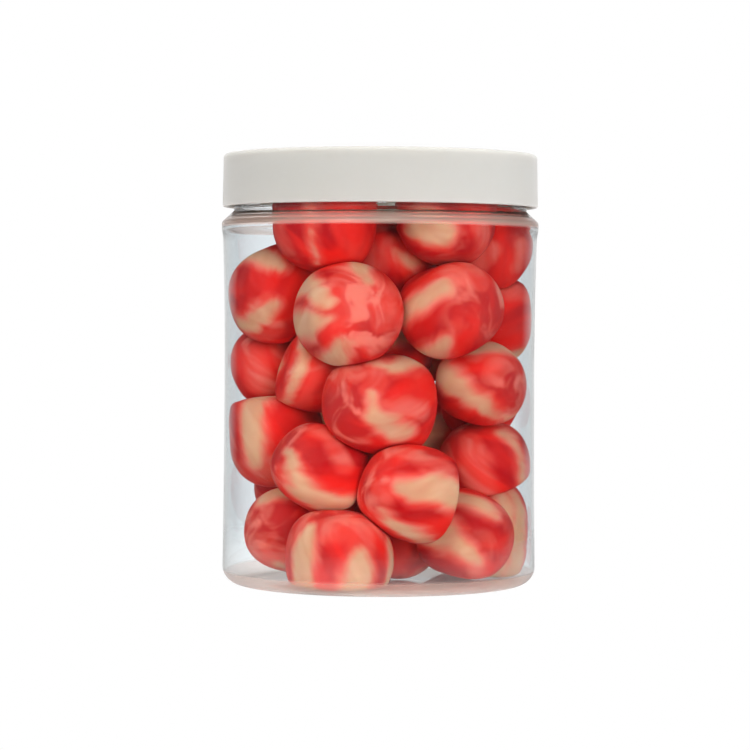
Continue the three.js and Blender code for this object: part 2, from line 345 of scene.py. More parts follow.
lidInner = lid["skirtRadius"] - lid["wall"]
screwLid = lathe("screwLid", filletPath([
    (0, lid["top"] - lid["deck"], 0),
    (lidInner, lid["top"] - lid["deck"], lid["innerRound"]),
    (lidInner, lid["bottom"], lid["innerLipRound"]),
    (lid["skirtRadius"], lid["bottom"], lid["lipRound"]),
    (lid["topRadius"], lid["top"], lid["edgeRound"]),
    (0, lid["top"], 0),
]), lid["segments"])
screwLid.data.materials.append(mouldedLidPlastic())
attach(screwLid, "root")
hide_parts("lid")
print("lid made", len(screwLid.data.polygons), "faces")


# Each gummy is a domed drum: where its middle is, the way its dome points, and its width and height.
# A swirl is a stroke of points (angle round the dome's axis, share of the height, half width). Angle 0
# faces the front, and a share below 0 is on the flat base. melt says how strongly the top of the dome
# is marbled, and is 1 where it isn't given.
frontGummies = [
    dict(at=(-10, -25, 9.5), dome=(0.03, -0.03, 1), wide=28, tall=20,
         cream=[[(-43, 0, 4.2), (-42, 0.4, 4), (-40, 0.66, 2.6), (-38, 0.78, 1.2)],
                [(22, 0, 4.2), (23, 0.3, 3.8), (25, 0.5, 2.4)],
                [(78, 0, 2), (77, 0.6, 1.4)]],
         pink=[[(-40, 0.66, 2.5), (-20, 0.8, 3), (20, 0.8, 4)], [(25, 0.45, 3.6), (25, 0.75, 4)],
               [(-80, 0.2, 2), (-75, 0.6, 2)]]),
    dict(at=(6.2, -25.5, 26), dome=(-0.9, -0.33, 0.28), wide=25, tall=22.5,
         cream=[[(7, 0.74, 2), (10, 0.55, 2.8), (13, 0.37, 3.6), (16, 0.14, 3.8), (14, 0, 3)],
                [(-44, 0.82, 1), (-50, 0.62, 1.6), (-54, 0.45, 2.2), (-60, 0.2, 2.4)]],
         # the pink stroke from 62 to 50 degrees lies on this gummy's top: partly its own pink, partly a
         # painted highlight where light from above falls
         pink=[[(-20, 0.86, 2)], [(62, 0.8, 1.6), (52, 0.55, 2.4), (50, 0.25, 2.4)], [(34, 0.5, 1)]]),
    dict(at=(28, -11, 56), dome=(0.72, -0.62, -0.25), wide=22.5, tall=20,
         cream=[[(5, 0.15, 3), (22, 0.55, 2.8), (32, 0.8, 1.9), (60, 0.88, 1.2), (100, 0.93, 0.8),
                 (160, 0.86, 0.7)],
                [(-45, 0.45, 2.2), (-65, 0.6, 2.6), (-90, 0.66, 2.2)]],
         pink=[[(60, 0.88, 2), (120, 0.9, 2)]]),
    dict(at=(24, -14, 14), dome=(0.78, -0.52, -0.3), wide=23.2, tall=20.8, melt=0.4,
         cream=[[(18, 0.1, 3), (14, 0.3, 3.9), (8, 0.52, 3.6), (16, 0.7, 2.4), (33, 0.87, 1.2)],
                [(-45, 0.2, 2.4), (-52, 0.5, 2.4), (-58, 0.7, 1.8), (-62, 0.82, 1.2)]],
         pink=[[(48, 0.84, 1.4), (90, 0.9, 1), (180, 0.86, 0.9), (240, 0.8, 0.9), (285, 0.75, 1)]]),
    dict(at=(-7.5, -27, 71.5), dome=(0.3, -0.94, 0.08), wide=27.6, tall=20.5, melt=1.6,
         cream=[[(146, 0.2, 3.2), (152, 0.6, 3), (160, 0.82, 2), (168, 0.92, 0.8)],
                [(-166, 0.2, 3.8), (-166, 0.62, 3.2), (-162, 0.86, 1.8), (-160, 0.94, 0.6)],
                [(-108, 0.3, 3), (-109, 0.72, 2.8), (-113, 0.88, 1.8)],
                [(84, 0.4, 2.2), (84, 0.8, 2.2), (72, 0.9, 1.6)]],
         pink=[[(28, 0.6, 2.5), (30, 0.8, 2)], [(-12, 0.4, 1.6), (-12, 0.8, 1.6)],
               [(180, 0.95, 5), (0, 0.97, 5)]]),
    dict(at=(20, -19.5, 72.8), dome=(0.6, -0.76, 0.22), wide=25.2, tall=21.5,
         cream=[[(-17, 0.15, 2.6), (-20, 0.36, 2.8), (-24, 0.6, 2.6), (-36, 0.82, 2)],
                [(48, 0.15, 2.2), (44, 0.4, 2.4), (38, 0.66, 2)],
                [(176, 0.3, 2.6), (172, 0.62, 1.8)]],
         # the pink stroke at -100 to -105 degrees lies on this gummy's top: partly its own pink, partly a
         # painted highlight where light from above falls
         pink=[[(-60, 0.86, 3), (-100, 0.95, 4)], [(-100, 0.45, 2.4), (-105, 0.8, 2)],
               [(40, 0.7, 2), (30, 0.85, 2)]]),
    dict(at=(-2.2, -22, 49.3), dome=(-0.7, -0.7, 0.1), wide=26, tall=26,
         cream=[[(72, 0.2, 2.4), (64, 0.42, 2.8), (58, 0.58, 2.6), (64, 0.7, 1.8)],
                [(18, 0.86, 0.6), (-4, 0.86, 1.3), (-16, 0.82, 2.2), (-24, 0.7, 2.6), (-27, 0.56, 2.4),
                 (-24, 0.4, 1.6)]],
         pink=[[(64, 0.7, 2.2), (44, 0.8, 2.2), (24, 0.87, 2.2)],
               [(-105, 0.6, 2.6), (-125, 0.75, 2.8), (-150, 0.85, 2.4)],
               [(2, 0.75, 0.9), (0, 0.5, 1.7), (0, 0.3, 1.7)], [(100, 0.92, 1.6), (60, 0.9, 1.6)]]),
    dict(at=(-28.5, -5, 77), dome=(-0.7, -0.6, -0.33), wide=26, tall=22, melt=0.1,
         cream=[[(100, 0.66, 2), (78, 0.6, 2.6), (50, 0.6, 2.6), (34, 0.57, 2)],
                [(-150, 0.98, 1.5), (-60, 0.99, 1.8), (-25, 0.97, 2), (-17, 0.91, 1.7), (-13, 0.83, 0.8)]],
         pink=[[(-172, 0.97, 2.4), (-100, 0.97, 2.4), (-60, 0.86, 2)], [(103, 0.85, 2), (150, 0.9, 1.6)]]),
    dict(at=(-29, 1, 39), dome=(0.05, -0.1, -1), wide=26, tall=23,
         cream=[[(26, -0.4, 3), (26, 0.1, 3.3), (27, 0.45, 3.2), (30, 0.7, 2.2)]],
         pink=[[(0, 0.86, 4), (60, 0.86, 4)], [(78, 0.3, 2), (74, 0.7, 2)]]),
    dict(at=(-15.2, -20.5, 29.8), dome=(-0.78, -0.4, 0.45), wide=23.2, tall=21,
         cream=[[(-2, 0.98, 1.2), (-31, 0.89, 2.3), (-38, 0.63, 3.2), (-35, 0.34, 3.8),
                 (-28, 0.14, 3.8), (-26, 0, 3)]],
         pink=[[(66, 0.78, 2.2), (46, 0.6, 2.4), (26, 0.42, 1)], [(-95, 0.6, 2.4), (-80, 0.3, 2.4)]]),
    dict(at=(-14.4, -20, 95.5), dome=(0, -0.1, -1), wide=27.5, tall=22.5, melt=0.1,
         cream=[[(14, 0.62, 0.5), (14, 0.84, 0.6), (13, 0.94, 0.2)]],
         pink=[[(14, 0.3, 1.4), (14, 0.9, 1.4)], [(64, 0.5, 2), (60, 0.8, 1.6)]]),
    dict(at=(20, -21.5, 97.5), dome=(0.1, -0.35, -0.93), wide=25.6, tall=20, melt=0.4,
         cream=[[(54, 0.62, 2.2), (34, 0.72, 3.4), (14, 0.78, 3.6), (-4, 0.8, 1.8)]],
         pink=[[(20, 0.3, 3), (30, 0.7, 3)], [(-45, 0.7, 2.2), (-68, 0.84, 2.6), (-100, 0.93, 1.6)]]),
]
secondGummies = [
    dict(at=(-17, -9, 57), dome=(0.9, 0.25, -0.3), wide=21, tall=18,
         cream=[[(-70, 0.06, 1.1), (0, 0.05, 1.3), (70, 0.06, 1.1)]],
         pink=[[(-60, 0.3, 1.2), (0, 0.32, 1.5), (60, 0.3, 1.2)], [(-70, 0.62, 1.6), (20, 0.66, 1.8)]]),
    dict(at=(2.8, -3, 88.3), dome=(0.3, -0.6, 0.7), wide=25, tall=21, melt=0.3,
         cream=[[(4, 0.9, 0.4), (16, 0.86, 1.1), (33, 0.79, 1.2)]],
         # the first pink stroke, on the dome that faces up, is partly the crown's own pink and partly a
         # painted highlight from light above
         pink=[[(-2, 0.93, 2.2), (14, 0.88, 2.6), (36, 0.78, 2.4)], [(-16, 0.78, 1.8), (-12, 0.6, 1.8)]]),
    dict(at=(30, -1, 91), dome=(0.5, -0.3, 0.8), wide=23.5, tall=19, melt=0.3,
         cream=[], pink=[[(45, 0.75, 1.6), (55, 0.5, 1.4)], [(0, 0.2, 2), (5, 0.5, 2)]]),
    dict(at=(30, 3, 71.6), dome=(-0.9, -0.3, 0.1), wide=23, tall=21,
         cream=[[(-50, 0, 2.4), (-60, 0.4, 2.4)]], pink=[[(45, 0.1, 2.2), (50, 0.5, 2.2)]]),
    dict(at=(-32, 1, 56), dome=(-0.4, -0.5, 0.75), wide=20, tall=17.5,
         cream=[[(20, 0, 2.4), (15, 0.3, 2.2)]],
         pink=[[(-20, 0.5, 3), (-10, 0.9, 3)], [(30, 0.4, 2.5), (35, 0.8, 2.5)]]),
    dict(at=(29.5, -1.5, 32), dome=(-0.3, -0.25, 0.92), wide=24.5, tall=17,
         cream=[[(52, 0.88, 1), (49, 0.5, 1.2), (46, 0.1, 1.5)]],
         pink=[[(-18, 0.93, 2.4), (-14, 0.67, 3), (-16, 0.36, 3), (-16, 0, 2.6)]]),
    dict(at=(-23.5, -5, 14.5), dome=(-0.8, -0.6, 0.1), wide=23.5, tall=22,
         cream=[[(96, 0.85, 3), (80, 0.68, 3.6), (66, 0.4, 3.6)], [(-64, 0.72, 1.4), (-62, 0.4, 1.4)]],
         pink=[[(-110, 0.88, 2.2), (-58, 0.84, 2.2), (-38, 0.6, 2.2)]]),
    dict(at=(32, 6, 15.5), dome=(0.1, -0.2, 0.97), wide=20.5, tall=25.5,
         cream=[[(18, 0.5, 2.4), (20, 0.85, 2.4)], [(48, 0, 2.8), (50, 0.9, 2.4)],
                [(14, 0, 2.6), (16, 0.14, 2.4)]],
         pink=[]),
]
backGummies = [
    dict(at=(31, 8, 45), dome=(0.3, -0.8, 0.5), wide=21, tall=18.5,
         cream=[], pink=[[(20, 0.5, 3), (10, 0.85, 3)]]),
    dict(at=(6, 1, 11), dome=(0.2, -0.7, -0.7), wide=24.5, tall=21, cream=[], pink=[[(30, 0.6, 2)]]),
    dict(at=(-24, 16, 27), dome=(-0.6, -0.2, 0.8), wide=24, tall=21,
         cream=[], pink=[[(-20, 0, 3), (-30, 0.5, 3)]]),
]
unseenGummies = [
    dict(at=(-9, 27, 14), dome=(0.2, 0.8, 0.5), wide=24.5, tall=21),
    dict(at=(14, 25, 14), dome=(-0.5, 0.7, 0.4), wide=24.5, tall=21),
    dict(at=(-8, 28, 48), dome=(0.5, 0.8, -0.2), wide=24.5, tall=21),
    dict(at=(14, 25, 38), dome=(-0.2, 0.5, -0.85), wide=24.5, tall=21),
    dict(at=(0, 4, 38), dome=(0.3, 0.3, 0.9), wide=22, tall=18.5),
    dict(at=(-15, 25, 71), dome=(-0.5, 0.8, 0.2), wide=24.5, tall=21),
    dict(at=(6, 11, 64), dome=(0.3, 0.9, 0.1), wide=24.5, tall=21),
    dict(at=(-16, 23, 94), dome=(0.4, 0.6, -0.7), wide=24.5, tall=21),
    dict(at=(14, 24, 66), dome=(-0.3, 0.9, 0.3), wide=24.5, tall=21),
    dict(at=(19, 19, 90), dome=(0.4, 0.6, -0.6), wide=24.5, tall=21),
]

gummyForm = {
    "baseShare": 0.95,           # base radius as a share of the widest radius
    "baseRound": 1.8,
    "widestShare": 0.33,         # height of the widest ring, as a share of the whole height
    "middleShare": 0.46,         # height of the middle, as a share of the whole height
    "domePower": 2.6,            # 2 is an ellipse, more is squarer
    "lumps": 0.4,                # how uneven the skin is
    "lumpSize": 10,
}
outlineSteps = {"settling": (2, 10), "mesh": (8, 40)}   # round the foot, and from there to the top
settling = {
    "hold": {"front": 40, "second": 5, "back": 1, "unseen": 0.4},
    "steps": 400,
    "directions": 260,
    "reach": 30,                 # gummies with middles farther apart than this can't touch
    "press": 2,                  # how far two soft gummies press into each other
    "pull": 0.08,                # pull back to the given place, fading out
    "fullPull": 10,              # gummies held this firmly or more are drawn back at full strength
    "ease": 0.5,
    "wallGap": 0.3,
    "ceiling": 109,
    "around": 16,
}
contact = {
    "soft": 0.7,                 # how rounded the edge of a flat is
    "wallSoftShare": 0.6,        # the same against the jar, as a share of soft
    "wallGap": 0.06,
    "gap": 0.03,
    "far": 1.3,                  # how far out a meeting is looked for, as a share of the reach
    "open": 1.28,                # past this share nothing is met
    "nothing": 99,
    "halvings": 24,
}
rippleForm = {
    "waves": 6,
    "vary": (0.7, 1.4),          # a wave's length is the wanted size divided by a number in this range
    "evenOut": 2.5,              # brings the sum of the waves back to about the wanted amount
}
strokeForm = {
    "outside": -6.0,             # the depth where no stroke is near
    "between": 14,               # points drawn from one point of a stroke to the next
    "softEdge": 0.7,
}
spareBands = {
    "number": 6,
    "lean": 25,                  # degrees that the bands turn by up to half their height, at most
    "uneven": 12,                # degrees that a band is off its place by at most
    "frontMost": -0.25,          # seen gummies have no spare band that faces the front more than this
    "domeLook": 0.6,
    "half": (1.8, 3.2),
    "top": (0.65, 0.85),
    "creamShare": 0.72,
    "crownShare": 0.5,
    "crownHalf": 2.4,
}
swirl = {
    "twist": 1.1,                # radians that the grain turns by from base to dome
    "stretch": 0.35,             # less than 1 makes the grain longer along the swirl
    "apart": (17, 31, 43),       # keeps one gummy's grain from being another's
    "warpSize": 6,
    "warp": 0.5,
    "meltFrom": 0.62,            # share of the height where the crown's marbling starts
    "meltOver": 0.36,
    "meltSize": 5,
    "meltUneven": 0.08,
}
meshSteps = {"front": 26, "second": 20, "back": 16, "unseen": 16}   # quads along one side of each cube face


def gummyOutline(gummy, roundSteps, domeSteps):
    # (radius, height above the base) from the middle of the base to the top of the dome
    radius = gummy["wide"] / 2
    tall = gummy["tall"]
    base = radius * gummyForm["baseShare"]
    rounding = gummyForm["baseRound"]
    widest = tall * gummyForm["widestShare"]
    turn = np.linspace(-math.pi / 2, 0, roundSteps + 1)
    foot = np.stack([base - rounding + rounding * np.cos(turn), rounding + rounding * np.sin(turn)], 1)
    rise = np.linspace(0, math.pi / 2, domeSteps + 1)
    power = 2 / gummyForm["domePower"]
    across = np.clip(np.cos(rise), 0, 1) ** power
    across[-1] = 0
    dome = np.stack([radius * across, widest + (tall - widest) * np.sin(rise) ** power], 1)
    return np.concatenate([[[0, 0]], foot, dome])


def sphereDirections(count):
    k = np.arange(count) + 0.5
    z = 1 - 2 * k / count
    flat = np.sqrt(1 - z * z)
    turn = math.pi * (1 + math.sqrt(5)) * k
    return np.stack([flat * np.cos(turn), flat * np.sin(turn), z], 1)


def settle(gummies):
    # the heap settles in the same way as in the CAD source: gummies that press too far into each
    # other move apart, the jar holds them in, and each is drawn back to its place
    count = len(gummies)
    home = np.array([g["at"] for g in gummies], float)
    axes = np.array([unit(g["dome"]) for g in gummies])
    hold = np.array([settling["hold"][g["tier"]] for g in gummies])
    directions = sphereDirections(settling["directions"])
    outlines = np.array([
        gummyOutline(g, *outlineSteps["settling"]) - (0, g["tall"] * gummyForm["middleShare"])
        for g in gummies
    ])
    along = axes @ directions.T
    across = np.sqrt(np.clip(1 - along ** 2, 0, 1))
    sideways = outlines[:, :, 0, None] * across[:, None]
    lengthways = outlines[:, :, 1, None] * along[:, None]
    reach = (sideways + lengthways).max(1)
    reachBack = (sideways - lengthways).max(1)
    askew = (0.3, 0.9, 0.2)              # no dome points exactly this way
    side = np.cross(askew, axes)
    side /= np.linalg.norm(side, axis=1, keepdims=True)
    other = np.cross(axes, side)
    turn = 2 * math.pi * np.arange(settling["around"]) / settling["around"]
    ring = np.cos(turn)[None, :, None] * side[:, None] + np.sin(turn)[None, :, None] * other[:, None]
    skin = (outlines[:, :, None, 0, None] * ring[:, None]
            + outlines[:, :, None, 1, None] * axes[:, None, None]).reshape(count, -1, 3)
    one, two = np.triu_indices(count, 1)
    share = (hold[two] / (hold[one] + hold[two]))[:, None]
    floorZ = floorTop + settling["wallGap"]
    drawn = np.minimum(1, hold / settling["fullPull"])[:, None]
    place = home.copy()
    for step in range(settling["steps"]):
        move = np.zeros_like(place)
        points = skin + place[:, None]
        radius = np.hypot(points[..., 0], points[..., 1])
        over = radius - (insideRadius(points[..., 2]) - settling["wallGap"])
        worst = over.argmax(1)
        rows = np.arange(count)
        push = np.clip(over[rows, worst], 0, None)
        move[:, :2] -= points[rows, worst, :2] * (push / radius[rows, worst])[:, None]
        move[:, 2] += np.clip(floorZ - points[..., 2].min(1), 0, None)
        move[:, 2] -= np.clip(points[..., 2].max(1) - settling["ceiling"], 0, None)
        gap = place[two] - place[one]
        near = np.linalg.norm(gap, axis=1) <= settling["reach"]
        depth = reach[one] + reachBack[two] - gap @ directions.T
        way = depth.argmin(1)
        push = np.clip(depth[np.arange(len(one)), way] - settling["press"], 0, None) * near
        np.add.at(move, one, -directions[way] * push[:, None] * share)
        np.add.at(move, two, directions[way] * push[:, None] * (1 - share))
        move += (home - place) * settling["pull"] * (1 - step / settling["steps"]) * drawn
        place += move * settling["ease"]
    return place


def cubeSphere(steps):
    # unit directions and quads, even over the whole sphere
    line = np.tan(np.linspace(-math.pi / 4, math.pi / 4, steps + 1))
    u, v = np.meshgrid(line, line, indexing="ij")
    one = np.ones_like(u)
    sides = [(one, u, v), (-one, v, u), (v, one, u), (u, -one, v), (u, v, one), (v, u, -one)]
    points = np.concatenate([np.stack(s, -1).reshape(-1, 3) for s in sides])
    grid = np.arange((steps + 1) ** 2).reshape(steps + 1, steps + 1)
    quad = np.stack([grid[:-1, :-1], grid[1:, :-1], grid[1:, 1:], grid[:-1, 1:]], -1).reshape(-1, 4)
    quads = np.concatenate([quad + k * grid.size for k in range(6)])
    points, index = np.unique(np.round(points, 9), axis=0, return_inverse=True)
    points /= np.linalg.norm(points, axis=1, keepdims=True)
    return points, index.reshape(-1)[quads]


def localAxes(dome):
    # angle 0 is the side that faces the front, or the right where the dome itself faces the front
    front = np.array([0, -1, 0]) if abs(dome[1]) < 0.8 else np.array([1, 0, 0])
    first = unit(front - dome * (front @ dome))
    return np.array([first, np.cross(dome, first), dome])


def ripple(points, size, amount, seed):
    # smooth uneven offsets, about size millimetres across
    rng = np.random.default_rng(seed)
    total = np.zeros(len(points))
    for _ in range(rippleForm["waves"]):
        wave = unit(rng.normal(size=3)) * rng.uniform(*rippleForm["vary"]) * math.pi / size
        total += np.sin(points @ wave + rng.uniform(0, 2 * math.pi))
    return total * amount / rippleForm["evenOut"]


def skinReach(gummy, local):
    # how far the gummy's skin is from its middle along unit directions in its own axes
    outline = gummy["outline"]
    polar = np.arctan2(np.hypot(local[:, 0], local[:, 1]), local[:, 2])
    return np.interp(polar, gummy["polar"], np.linalg.norm(outline, axis=1)[::-1])


def softMin(a, b, soft):
    blend = np.clip(soft - np.abs(a - b), 0, None) / soft
    return np.minimum(a, b) - blend ** 2 * soft / 4


def solveAlong(inside, far):
    # the farthest distance along each ray that is still inside
    low = np.zeros_like(far)
    high = far.copy()
    for _ in range(contact["halvings"]):
        middle = (low + high) / 2
        within = inside(middle)
        low = np.where(within, middle, low)
        high = np.where(within, high, middle)
    return low


def pressedReach(gummy, others, directions, reach):
    # where a gummy meets another or the jar, its skin is flattened, half way between the two
    far = reach * contact["far"]
    free = reach * contact["open"]
    skin = directions * reach[:, None] + gummy["place"]
    shaped = reach + ripple(skin, gummyForm["lumpSize"], gummyForm["lumps"], gummy["seed"])
    for other in others:
        if other is gummy or np.linalg.norm(other["place"] - gummy["place"]) > settling["reach"]:
            continue

        def nearerThis(distance):
            offset = gummy["place"] + directions * distance[:, None] - other["place"]
            length = np.linalg.norm(offset, axis=1)
            local = offset @ other["axes"].T / length[:, None]
            return distance / reach < length / skinReach(other, local)

        limit = solveAlong(nearerThis, far)
        flat = np.where(limit > free, contact["nothing"], limit - contact["gap"])
        shaped = softMin(shaped, flat, contact["soft"])

    def insideJar(distance):
        point = gummy["place"] + directions * distance[:, None]
        aboveFloor = point[:, 2] > floorTop + contact["wallGap"]
        outward = np.hypot(point[:, 0], point[:, 1])
        return (outward < insideRadius(point[:, 2]) - contact["wallGap"]) & aboveFloor

    limit = solveAlong(insideJar, far)
    flat = np.where(limit > free, contact["nothing"], limit)
    return softMin(shaped, flat, contact["soft"] * contact["wallSoftShare"])


def strokeField(gummy, strokes, points):
    # how deep each point is inside a stroke, in millimetres; below 0 is outside
    outline = gummy["outline"] + (0, gummy["tall"] * gummyForm["middleShare"])
    field = np.full(len(points), strokeForm["outside"])
    for stroke in strokes:
        knots = np.array(stroke, float)
        t = np.linspace(0, len(knots) - 1, strokeForm["between"] * (len(knots) - 1) + 1)
        angle, share, half = (np.interp(t, np.arange(len(knots)), knots[:, k]) for k in range(3))
        height = np.clip(share, 0, 1) * gummy["tall"]
        radius = np.interp(height, outline[1:, 1], outline[1:, 0]) * (1 + np.clip(share, -1, 0))
        turn = np.radians(angle)
        middle = np.stack([radius * np.cos(turn), radius * np.sin(turn),
                           height - gummy["tall"] * gummyForm["middleShare"]], 1)
        distance = np.linalg.norm(points[:, None] - middle[None], axis=2)
        field = np.maximum(field, (half + strokeForm["softEdge"] - distance).max(1))
    return field


def spareStrokes(gummy, rng):
    # bands of the usual swirl for the sides that the chosen strokes leave plain
    facing = gummy["axes"] @ np.array([0, -1, 0])
    cream = []
    pink = []
    start = rng.uniform(0, 360)
    lean = rng.uniform(-spareBands["lean"], spareBands["lean"])
    bands = spareBands["number"]
    uneven = spareBands["uneven"]
    for k in range(bands):
        angle = start + 360 * k / bands + rng.uniform(-uneven, uneven)
        turned = (angle + 180) % 360 - 180
        looksFront = facing[0] * math.cos(math.radians(angle)) + facing[1] * math.sin(math.radians(angle))
        seen = looksFront + spareBands["domeLook"] * abs(facing[2]) > spareBands["frontMost"]
        if gummy["tier"] != "unseen" and seen:
            continue
        half = rng.uniform(*spareBands["half"])
        stroke = [
            (turned, -0.5, half * 0.7), (turned, 0.1, half), (turned + lean, 0.5, half * 0.9),
            (turned + lean * 1.8, rng.uniform(*spareBands["top"]), half * 0.6),
        ]
        chosen = cream if rng.uniform() < spareBands["creamShare"] else pink
        chosen.append(stroke)
        if rng.uniform() < spareBands["crownShare"]:
            crownHalf = spareBands["crownHalf"]
            pink.append([(turned + lean * 1.6, 0.7, crownHalf), (turned + lean * 2.4, 0.92, crownHalf)])
    return cream, pink


rubber = {
    "patterns": {                # how wide each one is, and how much it is distorted
        "edge": (6.5, 0.5),
        "grain": (8, 0.7),
        "redShade": (11, 0.5),
        "creamShade": (6, 0.6),
        "gloss": (6, 0.0),
        "skin": (1.2, 0.0),
    },
    "detail": 2.0,
    "edgeWobble": 4.5,           # a stroke's edge wanders by up to about half of this to each side
    "crownMarble": 0.9,          # how strongly the crown is marbled, over the rest
    "plainMarble": 0.05,
    "crownPink": 0.25,           # the crown is at least this pink where its melt is 1
    "skinDepth": 0.1,
}


def gummyRubber():
    # gelatine gummy, cast in starch: soft satin skin, a little light passes under it, and the red
    # and the cream run into each other where the two were poured together
    material, tree = newMaterial("starchCastGummy")
    cream, pink, melt = (
        addNode(tree, "ShaderNodeAttribute", {"attribute_name": name}).outputs["Fac"]
        for name in ("cream", "pink", "melt"))
    grainPlace = addNode(tree, "ShaderNodeAttribute", {"attribute_name": "swirl"}).outputs["Vector"]
    noises = {}
    for name, (width, distortion) in rubber["patterns"].items():
        noises[name] = addNode(tree, "ShaderNodeTexNoise", {
            "Scale": 1 / width, "Detail": rubber["detail"], "Distortion": distortion,
        }, {"Vector": grainPlace}).outputs[0]

    # strokes get uneven, streaky edges that fade from cream over salmon to red
    centred = addNode(tree, "ShaderNodeMath", {"operation": "SUBTRACT", 1: 0.5}, {0: noises["edge"]})
    wobble = addNode(tree, "ShaderNodeMath", {"operation": "MULTIPLY", 1: rubber["edgeWobble"]}, {
        0: centred.outputs[0],
    })
    creamDepth = addNode(tree, "ShaderNodeMath", {"operation": "ADD"}, {0: cream, 1: wobble.outputs[0]})
    pinkDepth = addNode(tree, "ShaderNodeMath", {"operation": "ADD"}, {0: pink, 1: wobble.outputs[0]})
    shares = {}
    for name, source, low, high, most in (
            ("grain", noises["grain"], 0.36, 0.68, 1.0),
            ("redShade", noises["redShade"], 0.35, 0.65, 1.0),
            ("creamRim", creamDepth.outputs[0], -2.8, 0.8, 0.9),
            ("pinkRim", pinkDepth.outputs[0], -2, 1.6, 0.75),
            ("creamCore", creamDepth.outputs[0], -0.9, 2.3, 1.0)):
        shares[name] = addNode(tree, "ShaderNodeMapRange", {
            "interpolation_type": "SMOOTHSTEP", 1: low, 2: high, 4: most,
        }, {0: source}).outputs[0]

    # the crown is marbled, because the two colours ran together there
    crown = addNode(tree, "ShaderNodeMath", {"operation": "MULTIPLY", 1: rubber["crownMarble"]}, {0: melt})
    marbling = addNode(tree, "ShaderNodeMath", {"operation": "ADD", 1: rubber["plainMarble"]}, {
        0: crown.outputs[0],
    })
    marble = addNode(tree, "ShaderNodeMath", {"operation": "MULTIPLY"}, {
        0: shares["grain"], 1: marbling.outputs[0],
    })
    crownPink = addNode(tree, "ShaderNodeMath", {
        "operation": "MULTIPLY", 1: rubber["crownPink"],
    }, {0: melt})
    crownMost = addNode(tree, "ShaderNodeMath", {"operation": "MAXIMUM"}, {
        0: marble.outputs[0], 1: crownPink.outputs[0],
    })
    rims = addNode(tree, "ShaderNodeMath", {"operation": "MAXIMUM"}, {
        0: shares["creamRim"], 1: shares["pinkRim"],
    })
    pinkness = addNode(tree, "ShaderNodeMath", {"operation": "MAXIMUM"}, {
        0: rims.outputs[0], 1: crownMost.outputs[0],
    })

    red = addNode(tree, "ShaderNodeMix", {
        "data_type": "RGBA", 6: linear("#bd0210"), 7: linear("#ef2219"),
    }, {0: shares["redShade"]})
    salmon = addNode(tree, "ShaderNodeMix", {
        "data_type": "RGBA", 6: linear("#ee4c42"), 7: linear("#f78474"),
    }, {0: shares["grain"]})
    paleCream = addNode(tree, "ShaderNodeMix", {
        "data_type": "RGBA", 6: linear("#cf8866"), 7: linear("#efc7a4"),
    }, {0: noises["creamShade"]})
    redToSalmon = addNode(tree, "ShaderNodeMix", {"data_type": "RGBA"}, {
        0: pinkness.outputs[0], 6: red.outputs[2], 7: salmon.outputs[2],
    })
    colour = addNode(tree, "ShaderNodeMix", {"data_type": "RGBA"}, {
        0: shares["creamCore"], 6: redToSalmon.outputs[2], 7: paleCream.outputs[2],
    })
    gloss = addNode(tree, "ShaderNodeMapRange", {3: 0.42, 4: 0.58}, {0: noises["gloss"]})
    bump = addNode(tree, "ShaderNodeBump", {
        "Strength": 0.2, "Distance": rubber["skinDepth"] * mm,
    }, {"Height": noises["skin"]})
    gummy = addNode(tree, "ShaderNodeBsdfPrincipled", {
        "IOR": 1.45, "Subsurface Weight": 1.0, "Subsurface Radius": (1.0, 0.3, 0.18),
        "Subsurface Scale": 2.5 * mm, "Specular IOR Level": 0.15,
    }, {"Base Color": colour.outputs[2], "Roughness": gloss.outputs[0], "Normal": bump.outputs[0]})
    addNode(tree, "ShaderNodeOutputMaterial", None, {"Surface": gummy.outputs[0]})
    return material


def swirlPlace(gummy, skin, share):
    # a place in the swirl's grain, in millimetres: it is long along the swirl and turns with it
    turn = swirl["twist"] * share
    across = skin[:, 0] * np.cos(turn) - skin[:, 1] * np.sin(turn)
    beside = skin[:, 0] * np.sin(turn) + skin[:, 1] * np.cos(turn)
    grain = np.stack([across, beside, skin[:, 2] * swirl["stretch"]], 1)
    return grain + gummy["seed"] * np.array(swirl["apart"])


